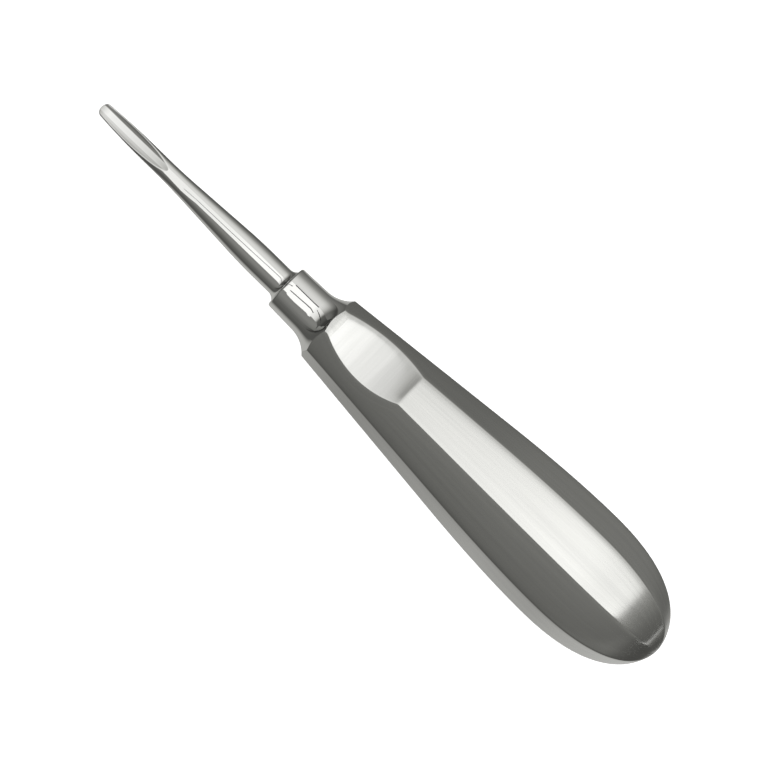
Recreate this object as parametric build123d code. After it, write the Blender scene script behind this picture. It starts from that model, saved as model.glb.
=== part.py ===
from build123d import *
from math import atan, atan2, cos, degrees, hypot, pi, sin, tan
import os

# Straight dental elevator with a large octagonal handle, all in stainless steel.
# Two pieces: the working end (blade, shank and the tang hidden in the handle) and the
# handle (turned neck, octagonal grip, thumb scoop and the socket for the tang).
#
# Sizes are in millimetres. The instrument is drawn along X with the blade's tip at 0 and
# +Z through the middle of the facet that carries the thumb scoop. Working-end stations
# count from the tip and handle stations from the face of the neck. At the end it is laid
# on the facet opposite the scoop, as it lies on a bench.

# Blade and shank
nose_length = 1.15           # rounded front of the blade, seen from above
nose_half_width = 1.36       # half width of that round
tip_half_width = 1.24        # blade at the tip, before its front is rounded
blade_half_width = 1.75      # widest part of the blade
blade_flare_length = 12.0    # tip to full blade width
blade_length = 15.0          # tip to the start of the swelling shank
shank_swell_length = 26.0    # slim end to full shank
swell_ease = 7.2             # length of the easing at both ends of the swell
shank_radius = 2.85          # full shank, next to the handle
shank_parallel_length = 3.8  # full shank that stays parallel
cove_length = 1.5            # small hollow flare against the neck
cove_fullness = 0.6          # share of that length over which it stays near the shank
collar_radius = 3.65         # where that flare meets the neck

# Trough of the blade, hollow-ground by the round rim of a wheel
trough_wheel_radius = 41.0   # curve of the trough's floor, seen from the side
trough_round = 2.1           # curve of the trough, seen end on
trough_low_station = 5.1     # where the floor is deepest
trough_floor_height = 0.09   # deepest floor, above the axis
blade_roll = 12.0            # degrees, trough turned from the scoop towards -Y

# Relief of the blade's back, which thins it towards the working edge
relief_start = 10.0          # station where the back begins to rise
relief_round = 2.6           # curve of the thinned back, seen end on
edge_drop = 0.2              # back at the very tip, below the axis
relief_skim = 0.02           # relief curve stands this far off the blade where it begins

# Tang in the handle
tang_radius = 2.0
tang_length = 16.0
tang_chamfer = 0.4
braze_gap = 0.03             # radial gap that the braze fills
socket_spare = 0.5           # socket beyond the tang, up to the hollow of the grip

# Turned neck of the handle
neck_front_radius = 4.53
neck_chamfer = 0.4           # broken front edge
neck_rear_radius = 4.70      # where the flare begins
neck_length = 6.2            # face to the start of the flare
flare_radius = 6.3           # hollow flare from the neck out to the facets
flare_sweep = 60.0           # degrees of that arc, more than the facets let stand

# Octagonal grip
handle_length = 93.7
facet_count = 8
facet_front = 10.0           # station where the facets begin
front_across_flats = 12.9    # across flats there
widest_across_flats = 22.66
knee_station = 61.1          # where the straight taper would meet the full size
knee_lead = 14.4             # easing before the knee
knee_trail = 10.6            # easing after it, up to the widest station
dome_side_fullness = 0.925   # share of the dome's length over which its side stays full
dome_end_fullness = 0.20     # share of its half height over which its end stays blunt
edge_break = 0.15            # half the width of the broken edge between two facets
pole_break = 0.03            # taken off the point where the facets meet at the butt

# Octagonal hollow inside the grip, which keeps the instrument light
hollow_share = 0.85          # half its width, as a share of the facets' height
hollow_full_station = 31.0   # where it gets as wide as that, behind the thumb scoop
hollow_end_length = 12.0     # narrowing at its rear end, under the dome
hollow_end_half_width = 3.6
butt_wall = 1.8              # wall left at the pole of the dome

# Thumb scoop across the front of the top facet
scoop_radius = 24.3
scoop_station = 18.3         # deepest line
scoop_depth = 1.58           # below the facet there
scoop_lip_radius = 1.2       # rounding where the scoop meets the facet

# Places worked out from the sizes
swell_end = blade_length + shank_swell_length
cove_start = swell_end + shank_parallel_length
neck_face = cove_start + cove_length
butt = neck_face + handle_length
socket_depth = tang_length + socket_spare
socket_radius = tang_radius + braze_gap
front_half = front_across_flats / 2
widest_half = widest_across_flats / 2
facet_taper = (widest_half - front_half) / (knee_station - facet_front)
taper_end = knee_station - knee_lead
widest_station = knee_station + knee_trail
cutter_reach = 2 * widest_across_flats


def facet_height(station):
    """Height of a facet over the axis, along its straight taper."""
    return front_half + facet_taper * (station - facet_front)


def grip_side(factor, pole):
    """Side line of the grip from the neck's face to the pole at the butt: a straight
    taper, a bend to the widest station and a full dome. The factor spreads it."""
    crown = widest_half * factor
    front = (neck_face, facet_height(0) * factor)
    bend_start = (neck_face + taper_end, facet_height(taper_end) * factor)
    knee = (neck_face + knee_station, crown)
    widest = (neck_face + widest_station, crown)
    full_side = (widest[0] + dome_side_fullness * (pole - widest[0]), crown)
    blunt_end = (pole, crown * dome_end_fullness)
    taper = Line(front, bend_start)
    bend = Bezier(bend_start, knee, widest)
    dome = Bezier(widest, full_side, blunt_end, (pole, 0))
    return taper, bend, dome


def spin(lines):
    """Solid of revolution about X, from a closed outline over the axis."""
    return revolve(Plane.XZ * make_face(Curve() + lines), Axis.X)


def make_octagon(side, front):
    """Octagonal body as what four slabs have in common: each slab has two opposite facets
    with the given side line, which starts at the front and ends on the axis."""
    front_edge = Line((front[0], -front[1]), front)
    outline = make_face(side + mirror(side, about=Plane.XZ) + front_edge)
    slab = extrude(Plane.XZ * outline, amount=cutter_reach, both=True)
    body = slab
    for turn in range(1, facet_count // 2):
        body = body & slab.rotate(Axis.X, turn * 360 / facet_count)
    return body


def make_edge_round():
    """Round body a little inside the octagon's corners, which breaks its long edges."""
    kept_half_chord = tan(pi / facet_count) - edge_break / widest_half
    taper, bend, dome = grip_side(hypot(1, kept_half_chord), butt)
    base = Polyline((butt, 0), (neck_face, 0), taper @ 0)
    return spin([taper, bend, dome, base])


def make_neck_round():
    """Round body of the neck and its hollow flare, open wide behind the flare."""
    edge_end = neck_face + neck_chamfer
    flare_start = (neck_face + neck_length, neck_rear_radius)
    slope = atan2(flare_start[1] - neck_front_radius, flare_start[0] - edge_end)
    flare_centre = (
        flare_start[0] - flare_radius * sin(slope),
        flare_start[1] + flare_radius * cos(slope),
    )
    neck = Polyline(
        (neck_face, 0),
        (neck_face, neck_front_radius - neck_chamfer),
        (edge_end, neck_front_radius),
        flare_start,
    )
    flare = CenterArc(flare_centre, flare_radius, degrees(slope) - 90, flare_sweep)
    wide = Polyline(flare @ 1, (butt, cutter_reach), (butt + 1, cutter_reach), (butt + 1, 0),
                    (neck_face, 0))
    return spin([neck, flare, wide])


def make_scoop_cutter():
    """Transverse cylinder whose lowest line is the floor of the thumb scoop."""
    height = facet_height(scoop_station) - scoop_depth + scoop_radius
    cylinder = Rot(90, 0, 0) * Cylinder(scoop_radius, cutter_reach)
    return Pos(neck_face + scoop_station, 0, height) * cylinder


def is_scoop_lip(edge):
    """True for the two straight edges across the top facet where the scoop leaves it."""
    middle = edge.center()
    reach = abs(middle.X - neck_face - scoop_station)
    across = edge.geom_type == GeomType.LINE and abs(edge.tangent_at(0.5).Y) > 0.99
    return across and middle.Z > 0 and reach < scoop_radius / 2


def make_hollow():
    """Hollow of the grip, which opens from the end of the socket, widens with the facets
    and narrows again under the dome."""
    mouth = (neck_face + socket_depth, socket_radius)
    rear = butt - butt_wall
    side = Polyline(
        mouth,
        (neck_face + hollow_full_station, hollow_share * facet_height(hollow_full_station)),
        (neck_face + taper_end, hollow_share * facet_height(taper_end)),
        (rear - hollow_end_length, hollow_share * widest_half),
        (rear, hollow_end_half_width),
        (rear, 0),
    )
    return make_octagon(side, mouth)


def make_handle():
    side = Curve() + list(grip_side(1, butt + pole_break))
    octagon = make_octagon(side, (neck_face, facet_height(0)))
    grip = octagon & make_edge_round() & make_neck_round()
    grip = grip - make_scoop_cutter()
    grip = fillet(grip.edges().filter_by(is_scoop_lip), scoop_lip_radius)
    socket = Rot(0, 90, 0) * Cylinder(socket_radius, socket_depth)
    return grip - Pos(neck_face + socket_depth / 2, 0, 0) * socket - make_hollow()


def make_blank():
    """Blade, shank and tang as one turned bar, before the blade is ground."""
    blade_full = (blade_flare_length, blade_half_width)
    blade_end = (blade_length, blade_half_width)
    swell_stop = (swell_end, shank_radius)
    front = Line((0, 0), (0, tip_half_width))
    flare = Bezier(front @ 1, (blade_flare_length / 2, blade_half_width), blade_full)
    side = Line(blade_full, blade_end)
    swell_slope = (shank_radius - blade_half_width) / (shank_swell_length - swell_ease)
    ease_rise = swell_slope * swell_ease / 2
    leave = (blade_length + swell_ease, blade_half_width + ease_rise)
    arrive = (swell_end - swell_ease, shank_radius - ease_rise)
    ease_out = Bezier(blade_end, (blade_length + swell_ease / 2, blade_half_width), leave)
    swell = Line(leave, arrive)
    ease_in = Bezier(arrive, (swell_end - swell_ease / 2, shank_radius), swell_stop)
    parallel = Line(swell_stop, (cove_start, shank_radius))
    cove_bend = (cove_start + cove_fullness * cove_length, shank_radius)
    cove = Bezier(parallel @ 1, cove_bend, (neck_face, collar_radius))
    tang_end = neck_face + tang_length
    tang = Polyline(
        cove @ 1,
        (neck_face, tang_radius),
        (tang_end - tang_chamfer, tang_radius),
        (tang_end, tang_radius - tang_chamfer),
        (tang_end, 0),
        (0, 0),
    )
    return spin([front, flare, side, ease_out, swell, ease_in, parallel, cove, tang])


def make_nose_form():
    """Upright form with the rounded front that the blade has when seen from above."""
    round_front = Pos(nose_length, 0) * Ellipse(nose_length, nose_half_width)
    behind_length = neck_face + tang_length
    behind = Pos(nose_length + behind_length / 2, 0) * Rectangle(behind_length, behind_length)
    return extrude(round_front + behind, amount=behind_length, both=True)


def make_wheel(station, radius, rim_round, lowest):
    """Wheel standing across the blade, with a rim that is round in section, so that its
    lowest point is at the given station and height."""
    core_radius = radius - rim_round
    disc = Cylinder(core_radius, 2 * rim_round) + Torus(core_radius, rim_round)
    return Pos(station, 0, lowest + radius) * Rot(90, 0, 0) * disc


def make_relief_form():
    """What the relief of the blade's back leaves standing: a wheel-shaped body round the
    blade, with a rim that rises towards the tip, and everything behind the relief."""
    lowest = -blade_half_width - relief_skim
    rise = -edge_drop - lowest
    radius = (relief_start**2 + rise**2) / (2 * rise)
    rest_length = neck_face + tang_length - relief_start + 1
    rest = Pos(relief_start + rest_length / 2, 0, 0) * Box(rest_length, radius, radius)
    return make_wheel(relief_start, radius, relief_round, lowest) + rest


def make_working_end():
    trough = make_wheel(
        trough_low_station, trough_wheel_radius, trough_round, trough_floor_height
    )
    ground = (make_blank() & make_relief_form()) - trough
    return (ground & make_nose_form()).rotate(Axis.X, blade_roll)


def rest_tilt(mass_centre):
    """Degrees that the axis rises towards the butt when the instrument lies on its bottom
    facet. It balances where the bent facet is level right under the centre of mass, and
    that place is searched for along the bend."""
    bend = grip_side(1, butt)[1]
    low, high = 0.0, 1.0
    for _ in range(40):
        middle = (low + high) / 2
        place = bend @ middle
        slope = (bend % middle).Y / (bend % middle).X
        lever = mass_centre.X - place.X - (place.Y + mass_centre.Z) * slope
        low, high = (middle, high) if lever > 0 else (low, middle)
    return degrees(atan(slope))


def lay_down(pieces):
    """Turns the pieces together to the pose in which they lie on a bench, with the
    middle of their lowest plane at the origin."""
    mass = sum(piece.volume for piece in pieces)
    centre = sum((piece.center(CenterOf.MASS) * piece.volume for piece in pieces), Vector())
    tilt = rest_tilt(centre / mass)
    tilted = [piece.rotate(Axis.Y, -tilt) for piece in pieces]
    box = tilted[0].bounding_box().add(tilted[1].bounding_box())
    middle = box.center()
    return [Pos(-middle.X, -middle.Y, -box.min.Z) * piece for piece in tilted]


handle, working_end = lay_down([make_handle(), make_working_end()])

os.makedirs("parts", exist_ok=True)
export_step(handle, "parts/handle.step")
export_step(working_end, "parts/working_end.step")
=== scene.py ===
import math

import bpy
import numpy as np
from mathutils import Matrix, Vector


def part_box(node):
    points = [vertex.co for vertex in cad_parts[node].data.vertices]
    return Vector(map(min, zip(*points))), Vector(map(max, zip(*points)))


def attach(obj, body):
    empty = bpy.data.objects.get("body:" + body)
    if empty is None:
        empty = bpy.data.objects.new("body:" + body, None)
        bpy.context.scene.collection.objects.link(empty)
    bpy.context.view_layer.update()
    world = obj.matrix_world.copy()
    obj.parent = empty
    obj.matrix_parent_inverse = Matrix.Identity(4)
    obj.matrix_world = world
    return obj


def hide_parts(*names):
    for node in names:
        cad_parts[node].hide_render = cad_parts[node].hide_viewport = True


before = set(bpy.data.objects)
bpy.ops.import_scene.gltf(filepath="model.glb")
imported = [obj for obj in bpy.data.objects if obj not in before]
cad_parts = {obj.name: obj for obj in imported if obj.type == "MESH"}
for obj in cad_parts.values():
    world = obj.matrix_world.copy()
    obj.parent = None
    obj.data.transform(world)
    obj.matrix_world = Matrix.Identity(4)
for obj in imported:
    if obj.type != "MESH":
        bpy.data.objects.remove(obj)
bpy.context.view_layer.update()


# Handle: a big pear-shaped grip of stainless steel with eight facets and a thumb scoop,
# and a turned neck in front. The neck and its flare are mirror polished, and the facets
# are linished along their length, which leaves a satin face with fine lengthwise lines.

MM = 0.001
neck_face = 46.3             # stations count from the tip of the blade, along the axis
neck_front_radius = 4.53
neck_edge_round = 0.4
neck_rear_radius = 4.70
flare_start = 52.5
flare_radius = 6.3
flare_reach = 0.999 * flare_radius    # the arc ends just short of upright
facet_front = 56.3
facet_front_height = 6.45    # facet over the axis there
bend_start = 93.0
knee = 107.4
widest = 118.0
widest_height = 11.33
butt = 140.0
dome_side_fullness = 0.925
dome_end_fullness = 0.20
facet_taper = (widest_height - facet_front_height) / (knee - facet_front)
edge_sharp = (0.0615, 0.15)  # metal lost at an edge between facets, and how far it reaches
edge_broad = (0.06, 0.6)     # the same for the soft crown that the polishing leaves
scoop_radius = 24.3
scoop_low_station = 64.6
scoop_depth = 1.58
scoop_lip_radius = 2.0
scoop_span = (58.2, 75.3)    # stations of its lips
socket_radius = 2.03
socket_end = 62.8
facet_angles = np.arange(8) * math.pi / 4

# The instrument lies on the facet opposite the scoop, so its axis rises by the taper.
rest_tilt = math.atan(facet_taper)
front_corner = neck_face * math.cos(rest_tilt)
front_corner -= (neck_front_radius - neck_edge_round) * math.sin(rest_tilt)
axis_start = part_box("handle")[0].x / MM - front_corner
axis_rise = (facet_front_height - facet_taper * facet_front) * math.cos(rest_tilt)


def place(station, across, up):
    """Point in metres in the row frame: the station runs along the axis, which starts at
    axis_start and axis_rise and climbs by rest_tilt; up is square to it."""
    x = axis_start + station * math.cos(rest_tilt) - up * math.sin(rest_tilt)
    z = axis_rise + station * math.sin(rest_tilt) + up * math.cos(rest_tilt)
    return np.stack([x, across + 0 * x, z], axis=-1) * MM


def curve_points(controls, steps):
    """Points on a Bezier curve: its control points, blended with binomial weights."""
    t = np.linspace(0, 1, steps)[:, None]
    degree = len(controls) - 1
    weights = [math.comb(degree, k) * t**k * (1 - t) ** (degree - k) for k in range(degree + 1)]
    return sum(weight * np.array(point, float) for weight, point in zip(weights, controls))


def taper_height(station):
    """Facet over the axis on its straight taper: front height plus taper times the
    distance behind the front."""
    return facet_front_height + facet_taper * (station - facet_front)


def top_height(station, height):
    """Top facet: its own line, lowered to the circle of the scoop where that is lower.
    Each lip is an arc that touches the line from below and the circle from outside."""
    centre_up = taper_height(scoop_low_station) - scoop_depth + scoop_radius
    reach = scoop_radius + scoop_lip_radius
    drop = scoop_lip_radius / math.cos(rest_tilt)
    a = 1 + facet_taper**2
    gap = taper_height(scoop_low_station) - drop - centre_up
    root = math.sqrt((facet_taper * gap) ** 2 - a * (gap**2 - reach**2))
    top = height.copy()
    spans = []
    for sign in (-1, 1):
        lip = (-facet_taper * gap + sign * root) / a
        lip_up = gap + facet_taper * lip
        on_scoop = lip * scoop_radius / reach
        on_line = lip - scoop_lip_radius * math.sin(rest_tilt)
        spans.append((lip, lip_up, on_scoop, on_line))
    x = station - scoop_low_station
    inside = (x > spans[0][2]) & (x < spans[1][2])
    hollow = centre_up - np.sqrt(np.maximum(scoop_radius**2 - x**2, 0))
    top = np.where(inside, hollow, top)
    for lip, lip_up, on_scoop, on_line in spans:
        arc = (x - min(on_scoop, on_line)) * (x - max(on_scoop, on_line)) <= 0
        rounded = centre_up + lip_up + np.sqrt(np.maximum(scoop_lip_radius**2 - (x - lip) ** 2, 0))
        top = np.where(arc, rounded, top)
    return top


def edge_loss(distance, scale):
    """Metal lost beside an edge: two exponentials of the distance from it."""
    lost = 0
    for depth, reach in (edge_sharp, edge_broad):
        lost = lost + depth * scale * np.exp(-distance / (reach * scale))
    return lost


edge_start = 0.043           # where two facets meet, beside the ideal sharp edge
edge_steps = np.array([0, 0.03, 0.07, 0.13, 0.22, 0.35, 0.55, 0.85, 1.25, 1.8])
middle_shares = np.array([0.15, 0.5, 0.85])
edge_full_height = 3.0       # a facet nearer to the axis than this has smaller edges
edge_widest_share = 0.44     # of a facet's width that one edge may take
facet_columns = 2 * len(edge_steps) - 1 + len(middle_shares)


def grip_section(height, top):
    """Octagon of every row: each facet is a line at its height over the axis, from one
    corner to the next, less the metal lost at both edges. Near the butt all of that
    shrinks with the height. Returns the points across and up, facet after facet."""
    lines = np.repeat(height[:, None], 8, axis=1)
    lines[:, 0] = top
    lean = math.cos(math.pi / 4)
    left = (np.roll(lines, 1, axis=1) - lines * lean) / lean
    right = (np.roll(lines, -1, axis=1) - lines * lean) / lean
    left, right, lines = left[..., None], right[..., None], lines[..., None]
    scale = np.minimum(1, height / edge_full_height)[:, None, None]
    near = np.minimum((edge_start + edge_steps) * scale, edge_widest_share * (left + right))
    inner = near[..., -1:]
    middles = -left + inner + middle_shares * (left + right - 2 * inner)
    offsets = np.concatenate([near - left, middles, (right - near)[..., :0:-1]], axis=2)
    heights = lines - edge_loss(offsets + left, scale) - edge_loss(right - offsets, scale)
    angle = facet_angles[None, :, None]
    across = heights * np.sin(angle) + offsets * np.cos(angle)
    up = heights * np.cos(angle) - offsets * np.sin(angle)
    return np.stack([across, up], axis=-1).reshape(len(height), -1, 2)


def flare_line(station):
    """Neck and its hollow flare over the axis: a slim cone, then an arc tangent to it."""
    slope = math.atan2(neck_rear_radius - neck_front_radius, flare_start - neck_face)
    centre_x = flare_start - flare_radius * math.sin(slope)
    centre_up = neck_rear_radius + flare_radius * math.cos(slope)
    cone = neck_front_radius + math.tan(slope) * (station - neck_face)
    x = np.clip(station - centre_x, 0, flare_reach)
    arc = centre_up - np.sqrt(flare_radius**2 - x**2)
    return np.where(station < flare_start, cone, arc)


def grid_mesh(name, points):
    """Closed mesh from a grid of points: rows along the piece and columns round it, with
    the last column joined to the first, and a fan to a middle point at each end."""
    rows, columns = points.shape[:2]
    index = np.arange(rows * columns).reshape(rows, columns)
    right = np.roll(index, -1, axis=1)
    quads = np.stack([index[:-1], index[1:], right[1:], right[:-1]], axis=-1).reshape(-1, 4)
    vertices = np.vstack([points.reshape(-1, 3), points[0].mean(axis=0), points[-1].mean(axis=0)])
    middle = np.full(columns, index.size)
    front = np.stack([index[0], right[0], middle], axis=-1)
    back = np.stack([right[-1], index[-1], middle + 1], axis=-1)
    mesh = bpy.data.meshes.new(name)
    mesh.from_pydata(vertices.tolist(), [], quads.tolist() + front.tolist() + back.tolist())
    mesh.update()
    return mesh


def put(name, mesh, materials):
    """Object at the origin that shows a mesh with its materials, smooth shaded."""
    thing = bpy.data.objects.new(name, mesh)
    bpy.context.scene.collection.objects.link(thing)
    for material in materials:
        mesh.materials.append(material)
    mesh.polygons.foreach_set("use_smooth", np.ones(len(mesh.polygons), bool))
    return thing


# Stations and heights of the facets' side line, from just behind the flare to the butt.
# The rows stand closest over the two lips of the scoop.
first_facet_row = 57.62
taper_rows = np.concatenate([
    np.linspace(first_facet_row, scoop_span[0], 9),
    np.linspace(scoop_span[0] + 0.4, scoop_span[1] - 0.3, 42),
    np.linspace(scoop_span[1], scoop_span[1] + 0.9, 10),
    np.linspace(scoop_span[1] + 1.7, bend_start, 12),
])
bend = curve_points([(bend_start, taper_height(bend_start)), (knee, widest_height),
                     (widest, widest_height)], 22)[1:]
dome_side = (widest + dome_side_fullness * (butt - widest), widest_height)
dome = curve_points([(widest, widest_height), dome_side,
                     (butt, widest_height * dome_end_fullness), (butt, 0)], 90)[1:-1]
side_station = np.concatenate([taper_rows, bend[:, 0], dome[:, 0]])
side_height = np.concatenate([taper_height(taper_rows), bend[:, 1], dome[:, 1]])
grip = grip_section(side_height, top_height(side_station, side_height))

# Where the flare meets the facets: each column's own station, found by halving.
crease_between = (54.0, 59.0)
low = np.full(grip.shape[1], crease_between[0])
high = np.full(grip.shape[1], crease_between[1])
for _ in range(40):
    middle = (low + high) / 2
    each = grip_section(taper_height(middle), taper_height(middle))
    ring = each[np.arange(len(middle)), np.arange(len(middle))]
    outside = np.hypot(ring[:, 0], ring[:, 1]) > flare_line(middle)
    low = np.where(outside, middle, low)
    high = np.where(outside, high, middle)
crease = (low + high) / 2
crease_direction = ring / np.hypot(ring[:, 0], ring[:, 1])[:, None]

handle_rows = []


def add_round_row(station, radius):
    """Row of the turned part: every column at its own station and radius."""
    ring = crease_direction * (np.zeros(len(crease)) + radius)[:, None]
    handle_rows.append(place(np.zeros(len(crease)) + station, ring[:, 0], ring[:, 1]))


# The blind socket, from its end out to the face of the neck.
for share in (0.5, 0.98, 1.0):
    add_round_row(socket_end, share * socket_radius)
add_round_row(socket_end - 0.1, socket_radius)
for station in np.linspace(socket_end - 2, neck_face + 0.1, 5):
    add_round_row(station, socket_radius)
add_round_row(neck_face, socket_radius)

# The face and its rounded edge, the neck's cone, and the flare up to the facets.
face_edge = neck_front_radius - neck_edge_round
for radius in np.linspace(socket_radius + 0.1, face_edge - 0.06, 4):
    add_round_row(neck_face, radius)
for turn in np.linspace(0, math.pi / 2, 7):
    add_round_row(neck_face + neck_edge_round * (1 - math.cos(turn)),
                  face_edge + neck_edge_round * math.sin(turn))
for station in np.linspace(neck_face + 0.5, flare_start, 7):
    add_round_row(station, flare_line(np.array(station)))
for share in list(np.linspace(0.08, 0.96, 14)) + [0.99, 1.0]:
    station = flare_start + share * (crease - flare_start)
    add_round_row(station, flare_line(station))
polished_rows = len(handle_rows) - 1

# The facets: a few rows that straighten out from the crease, and then one to a station.
straightening = (0.03, 0.12, 0.35, 0.65)
for share in straightening:
    station = crease + share * (first_facet_row - crease)
    each = grip_section(taper_height(station), taper_height(station))
    ring = each[np.arange(len(station)), np.arange(len(station))]
    handle_rows.append(place(station, ring[:, 0], ring[:, 1]))
for station, ring in zip(side_station, grip):
    handle_rows.append(place(station + 0 * ring[:, 0], ring[:, 0], ring[:, 1]))
handle_points = np.array(handle_rows)
handle_mesh = grid_mesh("handle_form", handle_points)


def linear(code):
    """Linear colour of an sRGB hex code, by the standard's two-part curve."""
    parts = [int(code[k:k + 2], 16) / 255 for k in (0, 2, 4)]
    return tuple(c / 12.92 if c <= 0.04045 else ((c + 0.055) / 1.055) ** 2.4 for c in parts) + (1.0,)


def add_node(tree, kind, settings=None, **links):
    """Node of any kind: its settings are attributes or values of its inputs, and each
    link names an input and gives the output that feeds it. An input that shares its name
    with another goes by its number, which is i0 and so on for a link."""
    node = tree.nodes.new(kind)
    for name, value in (settings or {}).items():
        if isinstance(name, int) or name in node.inputs:
            node.inputs[name].default_value = value
        else:
            setattr(node, name, value)
    for name, output in links.items():
        socket = node.inputs[int(name[1:])] if name[0] == "i" and name[1:].isdigit() else (
            node.inputs[name.replace("_", " ")])
        tree.links.new(output, socket)
    return node


def new_material(name):
    """Empty node material and its tree, with an output node."""
    material = bpy.data.materials.new(name)
    material.use_nodes = True
    material.node_tree.nodes.clear()
    output = material.node_tree.nodes.new("ShaderNodeOutputMaterial")
    return material, material.node_tree, output


def add_surface_lengths(mesh, points, stations, ring):
    """UV map in millimetres: u is the station, and v the distance round the row ring."""
    rows, columns = points.shape[:2]
    steps = np.linalg.norm(np.roll(points[ring], -1, axis=0) - points[ring], axis=1) / MM
    distance = np.concatenate([[0], np.cumsum(steps)[:-1]])
    girth = steps.sum()
    layer = mesh.uv_layers.new(name="lengths")
    count = len(mesh.vertices)
    u = np.zeros(count)
    v = np.zeros(count)
    u[:rows * columns] = np.repeat(stations, columns)
    v[:rows * columns] = np.tile(distance, rows)
    corner = np.zeros(len(mesh.loops), int)
    mesh.loops.foreach_get("vertex_index", corner)
    value = np.stack([u[corner], v[corner]], axis=-1)
    starts = np.zeros(len(mesh.polygons), int)
    totals = np.zeros(len(mesh.polygons), int)
    mesh.polygons.foreach_get("loop_start", starts)
    mesh.polygons.foreach_get("loop_total", totals)

    # A face over the seam has corners at both ends of the girth: the low ones move past it.
    owner = np.repeat(np.arange(len(starts)), totals)
    highest = np.zeros(len(starts))
    np.maximum.at(highest, owner, value[:, 1])
    wraps = (highest[owner] > 0.75 * girth) & (value[:, 1] < 0.25 * girth)
    value[wraps, 1] += girth
    layer.data.foreach_set("uv", value.astype(np.float32).ravel())


# Linished stainless steel: ground along the handle on a fine belt. It keeps sharp
# reflections lengthwise and draws them out into faint streaks across. The belt's real
# lines, some 0.02 mm wide, would be too fine to show, and are drawn 0.18 mm wide and 22 mm
# long, over broad ones of 1.1 by 50 mm. A noise reaches from about 0.3 to 0.7.
belt_lines_per_mm = (0.045, 5.5, 1)    # along the handle and across
broad_lines_per_mm = (0.02, 0.9, 1)
noise_span = {"From Min": 0.3, "From Max": 0.7}
scratch_depth = 0.02 * MM
linished_steel, tree, output = new_material("linished_stainless_steel")
lengths = add_node(tree, "ShaderNodeUVMap", {"uv_map": "lengths"})
belt_scale = add_node(tree, "ShaderNodeMapping", {"Scale": belt_lines_per_mm},
                      Vector=lengths.outputs["UV"])
belt_lines = add_node(tree, "ShaderNodeTexNoise", {"Scale": 1.0, "Detail": 6.0, "Roughness": 0.6},
                      Vector=belt_scale.outputs["Vector"])
broad_scale = add_node(tree, "ShaderNodeMapping", {"Scale": broad_lines_per_mm},
                       Vector=lengths.outputs["UV"])
broad_lines = add_node(tree, "ShaderNodeTexNoise", {"Scale": 1.0, "Detail": 3.0},
                       Vector=broad_scale.outputs["Vector"])
belt_roughness = add_node(tree, "ShaderNodeMapRange", {
    **noise_span, "To Min": 0.15, "To Max": 0.24}, Value=belt_lines.outputs[0])
belt_bump = add_node(tree, "ShaderNodeBump", {"Strength": 0.2, "Distance": scratch_depth},
                     Height=belt_lines.outputs[0])
belt_tint = add_node(tree, "ShaderNodeMix", {"data_type": "RGBA", 6: linear("C0C0BD"),
                                            7: linear("D4D4D0")}, i0=broad_lines.outputs[0])
shader = add_node(tree, "ShaderNodeBsdfPrincipled", {"Metallic": 1.0},
                  Roughness=belt_roughness.outputs[0], Normal=belt_bump.outputs["Normal"],
                  Base_Color=belt_tint.outputs[2])
tree.links.new(shader.outputs[0], output.inputs[0])

# Ground stainless steel: the scoop, ground by a wheel that turned along the handle and
# buffed across. Its faint bands run crosswise, 1.1 mm wide and 25 mm long, coarser than
# the wheel's own, so that they show.
bands_per_mm = (0.9, 0.04, 1)
ground_steel, tree, output = new_material("ground_stainless_steel")
lengths = add_node(tree, "ShaderNodeUVMap", {"uv_map": "lengths"})
band_scale = add_node(tree, "ShaderNodeMapping", {"Scale": bands_per_mm},
                      Vector=lengths.outputs["UV"])
bands = add_node(tree, "ShaderNodeTexNoise", {"Scale": 1.0, "Detail": 5.0, "Roughness": 0.6},
                 Vector=band_scale.outputs["Vector"])
band_roughness = add_node(tree, "ShaderNodeMapRange", {
    **noise_span, "To Min": 0.09, "To Max": 0.14}, Value=bands.outputs[0])
band_bump = add_node(tree, "ShaderNodeBump", {"Strength": 0.25, "Distance": scratch_depth},
                     Height=bands.outputs[0])
band_tint = add_node(tree, "ShaderNodeMix", {"data_type": "RGBA", 6: linear("C4C4C1"),
                                            7: linear("DCDCD9")}, i0=bands.outputs[0])
shader = add_node(tree, "ShaderNodeBsdfPrincipled", {"Metallic": 1.0},
                  Roughness=band_roughness.outputs[0], Normal=band_bump.outputs["Normal"],
                  Base_Color=band_tint.outputs[2])
tree.links.new(shader.outputs[0], output.inputs[0])

# Mirror-polished stainless steel: buffed on a wheel, so that it shows its surroundings
# almost as sharply as a mirror. Its gloss varies a little over marks of 1.1 by 2.9 mm.
buff_marks_per_mm = (0.9, 0.35, 1)
polished_steel, tree, output = new_material("mirror_polished_stainless_steel")
lengths = add_node(tree, "ShaderNodeUVMap", {"uv_map": "lengths"})
buff_scale = add_node(tree, "ShaderNodeMapping", {"Scale": buff_marks_per_mm},
                      Vector=lengths.outputs["UV"])
buff_marks = add_node(tree, "ShaderNodeTexNoise", {"Scale": 1.0, "Detail": 4.0},
                      Vector=buff_scale.outputs["Vector"])
buff_roughness = add_node(tree, "ShaderNodeMapRange", {
    **noise_span, "To Min": 0.03, "To Max": 0.06}, Value=buff_marks.outputs[0])
shader = add_node(tree, "ShaderNodeBsdfPrincipled", {"Metallic": 1.0,
                                                    "Base Color": linear("E7E7E4")},
                  Roughness=buff_roughness.outputs[0])
tree.links.new(shader.outputs[0], output.inputs[0])

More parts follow.
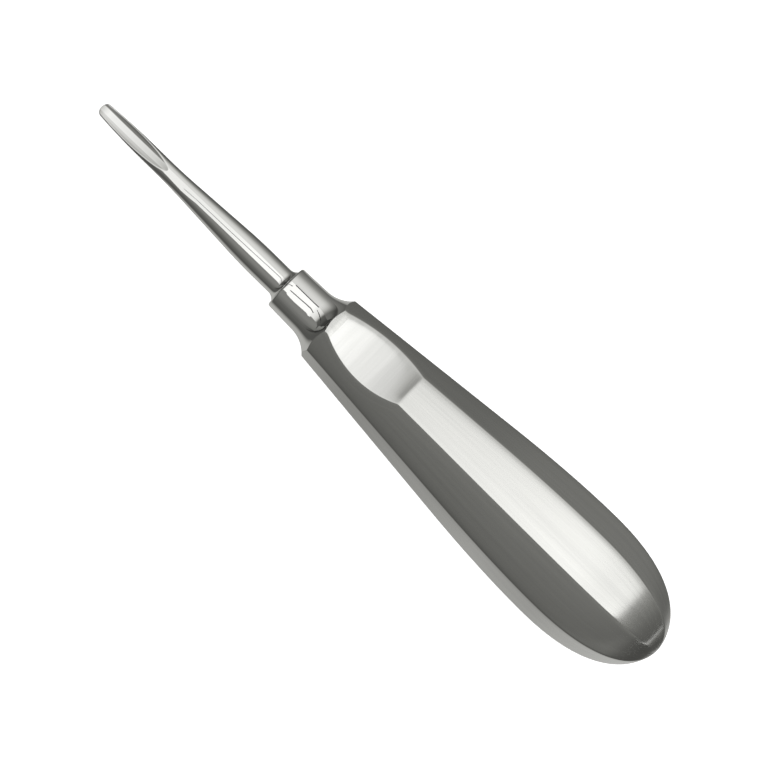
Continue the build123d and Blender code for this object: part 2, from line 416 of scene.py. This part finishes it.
# Lengths for the patterns: the turned rows are spread evenly, as the polish needs no more.
turned_lengths = np.linspace(40.0, 57.0, polished_rows + 1)
row_stations = np.concatenate([turned_lengths, np.full(len(straightening), turned_lengths[-1]),
                               side_station])
widest_row = len(handle_rows) - len(dome) - 1
add_surface_lengths(handle_mesh, handle_points, row_stations, widest_row)
handle = put("handle_surface", handle_mesh, [polished_steel, linished_steel, ground_steel])

# Finish of each face: 0 polished, 1 linished, 2 ground, as in the list of materials. The
# last two rings of faces are the fans at the socket's end and at the butt.
rows, columns = handle_points.shape[:2]
face_rows, face_columns = np.divmod(np.arange(len(handle_mesh.polygons)), columns)
satin = (face_rows >= polished_rows) & (face_rows < rows - 1)
satin[-columns:] = True
finish = satin.astype(np.int32)
face_stations = row_stations[np.minimum(face_rows, len(row_stations) - 1)]
in_scoop = satin & (face_stations > scoop_span[0]) & (face_stations < scoop_span[1])
finish[in_scoop & (face_columns < facet_columns - 1)] = 2
handle_mesh.polygons.foreach_set("material_index", finish)
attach(handle, "root")
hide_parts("handle")


# Working end: one bar of hardened stainless steel, turned to a slim shank and brazed into
# the neck by its tang. Its blade is hollow-ground by the round rim of a wheel, its back is
# ground thinner towards the tip, and all of it is mirror polished.

no_limit = 10.0              # wider than the bar, where a grind doesn't reach it
nose_length = 1.15
nose_half_width = 1.36
tip_half_width = 1.24
blade_half_width = 1.75
blade_flare_length = 12.0
blade_length = 15.0
swell_end = 41.0
swell_ease = 7.2
shank_radius = 2.85
cove_start = 44.8
cove_fullness = 0.6
collar_radius = 3.65
trough_wheel_radius = 41.0
trough_round = 2.1
trough_low_station = 5.1
trough_floor_height = 0.09
blade_roll = math.radians(12.0)
relief_start = 10.0
relief_round = 2.6
edge_drop = 0.2
relief_skim = 0.02
rim_round = 0.17
rim_round_share = 0.35       # of a narrow trough's half width, at most
tip_bevel_length = 1.7       # the front of the floor, thinned to the cutting edge
tip_bevel_depth = 0.3
tang_radius = 2.0
tang_end = neck_face + 16.0
tang_chamfer = 0.4


def bar_radius(station):
    """Turned bar: a blade that flares along a parabola to its full width, a straight
    swell with parabolic easing at both ends, and a parallel shank."""
    t = np.clip(station / blade_flare_length, 0, 1)
    blade = tip_half_width * (1 - t) ** 2 + blade_half_width * (1 - (1 - t) ** 2)
    slope = (shank_radius - blade_half_width) / (swell_end - blade_length - swell_ease)
    x = np.clip(station - blade_length, 0, None)
    left = np.clip(swell_end - station, 0, None)
    leaving = slope * np.minimum(x, swell_ease) ** 2 / (2 * swell_ease)
    straight = slope * np.clip(station - blade_length - swell_ease, 0, None)
    arriving = slope * np.minimum(left, swell_ease) ** 2 / (2 * swell_ease)
    rising = blade_half_width + leaving + straight
    return np.where(station > swell_end - swell_ease, shank_radius - arriving,
                    np.where(station > blade_length, rising, blade))


def trough_floor(station, across):
    """Hollow grind: the rim of a wheel, round in section, whose lowest point stands at
    trough_low_station. Height is the wheel's centre less its reach at that place, and a
    parabola thins the front to the cutting edge."""
    rim = np.sqrt(np.clip(trough_round**2 - across**2, 0, None))
    reach = trough_wheel_radius - trough_round + rim
    fall = np.sqrt(reach**2 - (station - trough_low_station) ** 2)
    bevel = np.clip(1 - station / tip_bevel_length, 0, 1) ** 2
    return trough_floor_height + trough_wheel_radius - fall - tip_bevel_depth * bevel


relief_low = blade_half_width + relief_skim
relief_rise = relief_low - edge_drop
relief_radius = (relief_start**2 + relief_rise**2) / (2 * relief_rise)


def relief_reach(station, angle):
    """Ground back of the blade: distance from the axis to a circle of relief_round whose
    lowest point follows the relief's wheel. The angle counts from straight up."""
    x = np.clip(relief_start - station, 0, relief_start)
    drop = np.sqrt(relief_radius**2 - x**2) - relief_radius + relief_low
    centre = relief_round - drop
    along = centre * np.cos(angle)
    cross = np.clip(relief_round**2 - (centre * np.sin(angle)) ** 2, 0, None)
    reach = along + np.sqrt(cross)
    return np.where(station < relief_start, reach, no_limit)


def nose_half(station):
    """Rounded front seen from above: the half width of an ellipse, and no limit behind."""
    x = np.clip((nose_length - station) / nose_length, 0, 1)
    return np.where(station < nose_length, nose_half_width * np.sqrt(1 - x**2), no_limit)


def rim_place(station, radius):
    """Half width at which the trough's floor meets the bar, found by halving."""
    low = np.zeros_like(station)
    high = radius.copy()
    for _ in range(50):
        middle = (low + high) / 2
        inside = np.sqrt(np.clip(radius**2 - middle**2, 0, None)) > trough_floor(station, middle)
        low = np.where(inside, middle, low)
        high = np.where(inside, high, middle)
    return np.where(trough_floor(station, 0 * station) < radius, (low + high) / 2, 0.0)


# The heel, where the trough runs out: the floor's middle comes up to the bar.
low, high = trough_low_station, 30.0
for _ in range(50):
    middle = (low + high) / 2
    if trough_floor(np.array(middle), np.array(0.0)) < bar_radius(np.array(middle)):
        low = middle
    else:
        high = middle
heel = (low + high) / 2

# Stations of the rows, closest at the tip and at the heel.
tip_rows = nose_length * (1 - np.cos(np.linspace(0.03, math.pi / 2, 16)))
blade_rows = np.linspace(nose_length + 0.15, heel - 2.0, 50)
heel_rows = heel - 1.9 * (1 - np.linspace(0, 1, 24)) ** 2
shank_rows = np.concatenate([heel + np.array([0.03, 0.1, 0.25, 0.5, 0.9]),
                             np.linspace(heel + 1.4, cove_start, 46)])
bar_rows = np.concatenate([tip_rows, blade_rows, heel_rows, shank_rows])
radii = bar_radius(bar_rows)
rim = np.minimum(rim_place(bar_rows, radii), nose_half(bar_rows))
rim = np.where(bar_rows >= heel, 0.0, rim)
rim_up = np.where(rim > 0, trough_floor(bar_rows, rim), radii)
rim_angle = np.arctan2(rim, rim_up)
bevel = np.minimum(rim_round, rim_round_share * rim)

# The floor's points and then the back's, which go round the bar from rim to rim.
floor_columns = 25
back_columns = 85
shares = np.sin(np.linspace(-1, 1, floor_columns) * math.pi / 2)
floor_across = (rim - bevel)[:, None] * shares
floor_up = trough_floor(bar_rows[:, None], floor_across)
floor_up = np.where(rim[:, None] > 0, floor_up, radii[:, None])
back_start = rim_angle + bevel / radii
back_turn = 2 * math.pi - 2 * back_start
angles = back_start[:, None] + np.linspace(0, 1, back_columns) * back_turn[:, None]
reach = np.minimum(radii[:, None], relief_reach(bar_rows[:, None], angles))
sine = np.maximum(np.abs(np.sin(angles)), 1e-6)
reach = np.minimum(reach, nose_half(bar_rows)[:, None] / sine)
back_across = reach * np.sin(angles)
back_up = reach * np.cos(angles)
bridge = np.array([0.25, 0.5, 0.75])


def bridge_over(start, corner, end):
    """Rounded rim: three points of a parabola from one surface over the corner."""
    t = bridge[None, :]
    return (1 - t) ** 2 * start[:, None] + 2 * t * (1 - t) * corner[:, None] + t**2 * end[:, None]


right_across = bridge_over(floor_across[:, -1], rim, back_across[:, 0])
right_up = bridge_over(floor_up[:, -1], rim_up, back_up[:, 0])
left_across = bridge_over(back_across[:, -1], -rim, floor_across[:, 0])
left_up = bridge_over(back_up[:, -1], rim_up, floor_up[:, 0])
across = np.concatenate([floor_across, right_across, back_across, left_across], axis=1)
up = np.concatenate([floor_up, right_up, back_up, left_up], axis=1)
turned_across = across * math.cos(blade_roll) - up * math.sin(blade_roll)
turned_up = across * math.sin(blade_roll) + up * math.cos(blade_roll)
station_grid = np.repeat(bar_rows[:, None], across.shape[1], axis=1)

# The cove against the neck, and the tang inside it: rings with the same columns.
cove = curve_points([(cove_start, shank_radius),
                     (cove_start + cove_fullness * (neck_face - cove_start), shank_radius),
                     (neck_face, collar_radius)], 12)[1:]
hidden = [(neck_face, 3.0), (neck_face, tang_radius), (neck_face + 0.1, tang_radius),
          (tang_end - tang_chamfer, tang_radius), (tang_end, tang_radius - tang_chamfer)]
rings = np.concatenate([cove, np.array(hidden)])
last_across = turned_across[-1] / shank_radius
last_up = turned_up[-1] / shank_radius
ring_across = rings[:, 1:2] * last_across[None, :]
ring_up = rings[:, 1:2] * last_up[None, :]
ring_station = np.repeat(rings[:, :1], across.shape[1], axis=1)
end_points = place(np.concatenate([station_grid, ring_station]),
                   np.concatenate([turned_across, ring_across]),
                   np.concatenate([turned_up, ring_up]))
end_mesh = grid_mesh("working_end_form", end_points)
add_surface_lengths(end_mesh, end_points, np.concatenate([bar_rows, rings[:, 0]]),
                    len(bar_rows) - 1)
working_end = put("working_end_surface", end_mesh, [polished_steel])
weld = working_end.modifiers.new("close_seam", "WELD")
weld.merge_threshold = 0.000002
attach(working_end, "root")
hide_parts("working_end")


# Floor: a sheet of white paper under the instrument. The camera and the metal see it as
# white, by a glow for those rays alone, and it keeps the instrument's soft shadow.

floor_half = 3.0             # metres
camera_glow = 0.72           # added where the camera looks straight at the paper
glossy_glow = 0.1            # added where the metal reflects it
floor_mesh = bpy.data.meshes.new("floor_sheet")
floor_mesh.from_pydata([(-floor_half, -floor_half, 0), (floor_half, -floor_half, 0),
                        (floor_half, floor_half, 0), (-floor_half, floor_half, 0)],
                       [], [(0, 1, 2, 3)])
white_paper, tree, output = new_material("white_paper")
rays = add_node(tree, "ShaderNodeLightPath")
glow_share = add_node(tree, "ShaderNodeMath", {"operation": "MULTIPLY", 1: glossy_glow},
                      i0=rays.outputs["Is Glossy Ray"])
camera_share = add_node(tree, "ShaderNodeMath", {"operation": "MULTIPLY_ADD", 1: camera_glow},
                        i0=rays.outputs["Is Camera Ray"], i2=glow_share.outputs[0])
paper_glow = add_node(tree, "ShaderNodeEmission", {"Color": (1, 1, 1, 1)},
                      Strength=camera_share.outputs[0])
paper = add_node(tree, "ShaderNodeBsdfDiffuse", {"Color": linear("F0F0F0")})
both = add_node(tree, "ShaderNodeAddShader", None, i0=paper.outputs[0], i1=paper_glow.outputs[0])
tree.links.new(both.outputs[0], output.inputs[0])
floor = put("floor", floor_mesh, [white_paper])


# Light tent: a tunnel of translucent cloth round the instrument, closed at both ends and
# lit from above. Its glow is worked out from the angle round the instrument's axis, in
# degrees from straight up towards +Y, and from the station.

tent_radius = 150.0          # millimetres
tent_ends = (-420.0, 640.0)
tent_end_tones = (0.05, 0.15)
tent_side = 104              # the cloth reaches down to this angle on both sides
panel_sides = (-70.0, 21.0)  # bright overhead panel
panel_end = 233.0            # station where it stops
panel_side_blur = 1.0        # degrees over which its sides fade, each way
panel_end_blur = 2.0         # the same for its end, in millimetres

# Tones of the cloth, each at an angle or a station, with straight lines between them.
wall_by_side = [(-105, 0.11), (-97, 0.122), (-89, 0.131), (-81, 0.15), (-73, 0.175),
                (-65, 0.205), (-57, 0.24), (-49, 0.262), (-40, 0.255), (-29, 0.25)]
wall_by_station = [(110, 1), (130, 1.12), (175, 1.45), (230, 1.55), (272, 1.8), (356, 1.3),
                   (442, 1)]
panel_by_station = [(-400, 0.06), (-140, 0.12), (-120, 0.22), (-97, 0.55), (-73, 0.78),
                    (-31, 0.98), (1, 1.08), (20, 1.22), (50, 1.28), (63, 1.36), (80, 1.47),
                    (98, 1.52), (118, 1.62), (140, 1.6), (165, 1.48), (185, 1.52), (218, 1.7)]
field_by_side = [(20, 0.86), (39, 0.84), (47, 0.78), (55, 0.70), (63, 0.58), (71, 0.44),
                 (79, 0.32), (87, 0.25), (95, 0.205), (103, 0.185)]
beyond_by_station = [(230, 0.42), (260, 0.36), (300, 0.27), (400, 0.19), (600, 0.15)]


def blend(value, start, end):
    """Smooth step from 0 to 1 between two values."""
    t = np.clip((value - start) / (end - start), 0, 1)
    return t * t * (3 - 2 * t)


def read_line(value, points):
    """Reading at a value: straight lines between the points, and level past both ends."""
    return np.interp(value, *np.array(points, float).T)


def wall_glow(side, station):
    """Grey cloth on the -Y side: its tone by the angle, times one by the station, and
    half of that far in front of the tip."""
    wall = read_line(side, wall_by_side) * (0.5 + 0.5 * blend(station, -150, 20))
    return wall * read_line(station, wall_by_station)


def tent_glow(side, station):
    """Brightness of the cloth: the overhead panel, with a softer field beside it on +Y and
    the grey wall on -Y. Past the panel's end it is the darker of these and a low tone."""
    field = read_line(side, field_by_side) * (0.2 + 0.8 * blend(station, -150, 10))
    glow = np.where(side < 0, wall_glow(side, station), field)
    over = blend(side, panel_sides[0] - panel_side_blur, panel_sides[0] + panel_side_blur)
    over = over * (1 - blend(side, panel_sides[1] - panel_side_blur,
                             panel_sides[1] + panel_side_blur))
    glow = glow + (read_line(station, panel_by_station) - glow) * over
    past_end = blend(station, panel_end - panel_end_blur, panel_end + panel_end_blur)
    return glow + (np.minimum(glow, read_line(station, beyond_by_station)) - glow) * past_end


def ribbon(stations, sides, radius):
    """Points of a grid wrapped round the instrument's axis: the angle's sine and cosine
    times the radius, at each station."""
    return place(stations, radius * np.sin(np.radians(sides)), radius * np.cos(np.radians(sides)))


# Glow of the studio sheets: the tent's cloth gives real light, and the ground card, shade card and
# battens give painted reflection.
cloth_light_and_painted_reflection, tree, output = new_material("cloth_light_and_painted_reflection")
glow = add_node(tree, "ShaderNodeAttribute", {"attribute_name": "glow"})
cloth_tint = add_node(tree, "ShaderNodeMix", {"data_type": "RGBA", 6: (1, 1, 0.955, 1),
                                             7: (1, 1, 1, 1)}, i0=glow.outputs["Fac"])
shine = add_node(tree, "ShaderNodeEmission", None, Color=cloth_tint.outputs[2],
                 Strength=glow.outputs["Fac"])
tree.links.new(shine.outputs[0], output.inputs[0])


def sheet_object(name, points, glow, lights_paper):
    """Open grid surface of the studio, with a glow for every point. The metal sees it, the
    camera doesn't, and it casts no shadow; only the tent also lights the paper."""
    rows, columns = points.shape[:2]
    index = np.arange(rows * columns).reshape(rows, columns)
    quads = np.stack([index[:-1, :-1], index[:-1, 1:], index[1:, 1:], index[1:, :-1]], axis=-1)
    mesh = bpy.data.meshes.new(name)
    mesh.from_pydata(points.reshape(-1, 3).tolist(), [], quads.reshape(-1, 4).tolist())
    layer = mesh.attributes.new("glow", "FLOAT", "POINT")
    layer.data.foreach_set("value", np.ascontiguousarray(glow, np.float32).ravel())
    sheet = put(name, mesh, [cloth_light_and_painted_reflection])
    sheet.visible_camera = False
    sheet.visible_shadow = False
    sheet.visible_diffuse = lights_paper


tent_sides = np.linspace(-tent_side, tent_side, 417)
panel_end_rows = panel_end + panel_end_blur * np.linspace(-1, 1, 5)
tent_stations = np.sort(np.concatenate([np.linspace(*tent_ends, 107), panel_end_rows]))
side_grid, station_grid = np.meshgrid(tent_sides, tent_stations)
sheet_object("light_tent", ribbon(station_grid, side_grid, tent_radius),
             tent_glow(side_grid, station_grid), True)
side_grid, share_grid = np.meshgrid(tent_sides, np.linspace(0, 1, 5))
for station, tone in zip(tent_ends, tent_end_tones):
    sheet_object("tent_end", ribbon(station + 0 * side_grid, side_grid, tent_radius * share_grid),
                 tone + 0 * side_grid, True)


# Ground as the metal sees it: a grey sheet on the floor with a light middle round the instrument.
# Its glow is a painted reflection of the floor, which only the metal sees. The near side is the
# camera's, -Y.

ground_height = 0.03         # millimetres over the paper
core_end = (146, 160)        # stations over which the light middle ends behind the butt
core_by_station = [(5, 0.25), (14, 0.35), (19, 0.46), (42, 0.5), (50, 0.5), (57, 0.46),
                   (67, 0.38), (72, 0.37), (80, 0.4), (92, 0.44), (104, 0.5), (120, 0.48),
                   (130, 0.55), (140, 0.6)]
near_half_width = [(7, 1.5), (14.6, 3), (18, 4.6), (22.4, 6.4), (42, 11.5), (49.5, 13.8),
                   (60, 18), (140, 24)]
far_half_width = [(5, 1), (22, 4), (42, 8), (45.5, 12), (48, 17), (50, 17.4), (60, 18),
                  (140, 22)]
near_by_distance = [(10, 0.1), (21, 0.1), (31, 0.108), (63, 0.127), (150, 0.13)]
far_by_distance = [(12, 0.115), (20, 0.125), (25, 0.16), (39, 0.185), (73, 0.215), (150, 0.23)]


def ground_glow(station, across):
    """Painted reflection of the floor: a light core that follows the instrument, wide at the grip
    and closing to the tip, and outside it dark grey that grows lighter with the distance. Its
    edge is a smooth step from 0.6 to 1.4 times the half width."""
    near_side = across < 0
    half = np.where(near_side, read_line(station, near_half_width),
                    read_line(station, far_half_width))
    far_tone = read_line(across, far_by_distance)
    far_tone = far_tone * (1 + 0.25 * blend(across, 45, 60) * blend(station, 82, 104))
    outer = np.where(near_side, read_line(-across, near_by_distance), far_tone)
    outer = outer * (0.3 + 0.7 * blend(station, -60, 10))
    inside = 1 - blend(np.abs(across) / half, 0.6, 1.4)
    inside = inside * (1 - blend(station, *core_end))
    return outer + (read_line(station, core_by_station) - outer) * inside


ground_x = np.concatenate([np.linspace(-400, -90, 12), np.linspace(-85, 110, 130),
                           np.linspace(115, 560, 14)])
ground_y = np.concatenate([np.linspace(-160, -34, 22), np.linspace(-32, 32, 97),
                           np.linspace(34, 160, 22)])
x_grid, y_grid = np.meshgrid(ground_x, ground_y)
ground_points = np.stack([x_grid, y_grid, ground_height + 0 * x_grid], axis=-1) * MM
sheet_object("ground_card", ground_points,
             ground_glow((x_grid - axis_start) / math.cos(rest_tilt), y_grid), False)


# Shade and battens: a grey card close over the instrument, whose curved upper edge is what
# the polished shank shows as the end of the panel, and dark battens along the panel. Both
# are painted reflection: sheets that only the metal sees, with no shadow and no light on the
# paper. Each line is a list of stations and angles.

shade_radius = 26.0
shade_foot = -72.0           # angle of its lower edge
shade_wall_span = (20, 110)  # stations between which it has the tone of the wall there
shade_line = [(-200, -30), (-60, -30), (-30, -41), (9, -41), (13, -55), (16.6, -66), (19.7, -45.8),
              (24.4, -38.4), (29.8, -34.1), (34.3, -32.8), (39.2, -31.5), (44.4, -30.1),
              (45.4, -35.1), (46.7, -36.6), (47.6, -36.9), (49.4, -34.6), (50.8, -31.2),
              (52.5, -29), (200, -29)]
shade_stations = np.concatenate([np.linspace(-200, -32, 20), np.linspace(-30, 60, 181),
                                 np.linspace(62, 200, 20)])
station_grid, share_grid = np.meshgrid(shade_stations, np.linspace(0, 1, 12))
side_grid = shade_foot + share_grid * (read_line(station_grid, shade_line) - shade_foot)
sheet_object("shade_card", ribbon(station_grid, side_grid, shade_radius),
             wall_glow(side_grid, np.clip(station_grid, *shade_wall_span)), False)

batten_tone = 0.02
batten_radius = shade_radius - 0.3
battens = [                  # each with its width in degrees
    ([(16.6, -27.4), (18, -21.6), (19.6, -16.2), (24.3, -11.9), (29.8, -7.9), (34.3, -4.9),
      (39.2, -0.5), (43.3, 4.3), (44.6, 7.1)], 3.4),
    ([(45.3, -13.2), (49, -8.8), (51.2, -6.1), (52.6, -4.6)], 3.6),
    ([(45.5, 18.5), (49, 17.7), (51.2, 17.2), (52.3, 16.9)], 3.6),
]
for line, width in battens:
    station_grid, share_grid = np.meshgrid(np.linspace(line[0][0], line[-1][0], 40),
                                           np.linspace(-0.5, 0.5, 3))
    side_grid = read_line(station_grid, line) + share_grid * width
    sheet_object("dark_batten", ribbon(station_grid, side_grid, batten_radius),
                 batten_tone + 0 * side_grid, False)

# White surroundings beyond the tent.
world = bpy.data.worlds.new("studio")
bpy.context.scene.world = world
world.use_nodes = True
world.node_tree.nodes["Background"].inputs["Color"].default_value = (1, 1, 1, 1)
world.node_tree.nodes["Background"].inputs["Strength"].default_value = 1.0


# Camera: a long lens that looks square onto the instrument's axis, over the edge of the
# top facet, with the blade towards the upper left of the square picture.

photo_side = 768             # the picture is square
pixel_size = 0.18012         # millimetres of the object to one of its pixels
view_roll = math.radians(16.7)    # the camera leans from straight up towards -Y
picture_turn = math.radians(44.4)  # the axis falls by this to the right
aim_station = 71.29
aim_across = -0.1
lens = 150.0
sensor = 36.0
clip_start = 0.01            # metres

back = np.array([0.0, -math.sin(view_roll), math.cos(view_roll)])
along = np.array([1.0, 0.0, 0.0])
aside = np.cross(back, along)
right = math.cos(picture_turn) * along + math.sin(picture_turn) * aside
top = -math.sin(picture_turn) * along + math.cos(picture_turn) * aside
lean = Matrix.Rotation(-rest_tilt, 3, "Y")
distance = photo_side * pixel_size * MM * lens / sensor
aim = Vector(place(np.array(aim_station), np.array(aim_across), np.array(0.0)))
turned = [lean @ Vector(direction) for direction in (right, top, back)]
camera_data = bpy.data.cameras.new("camera")
camera_data.lens = lens
camera_data.sensor_width = sensor
camera_data.sensor_height = sensor
camera_data.clip_start = clip_start
camera = bpy.data.objects.new("camera", camera_data)
bpy.context.scene.collection.objects.link(camera)
pose = Matrix((turned[0], turned[1], turned[2])).transposed().to_4x4()
pose.translation = aim + turned[2] * distance
camera.matrix_world = pose
bpy.context.scene.camera = camera

bpy.context.scene.view_settings.view_transform = "Standard"
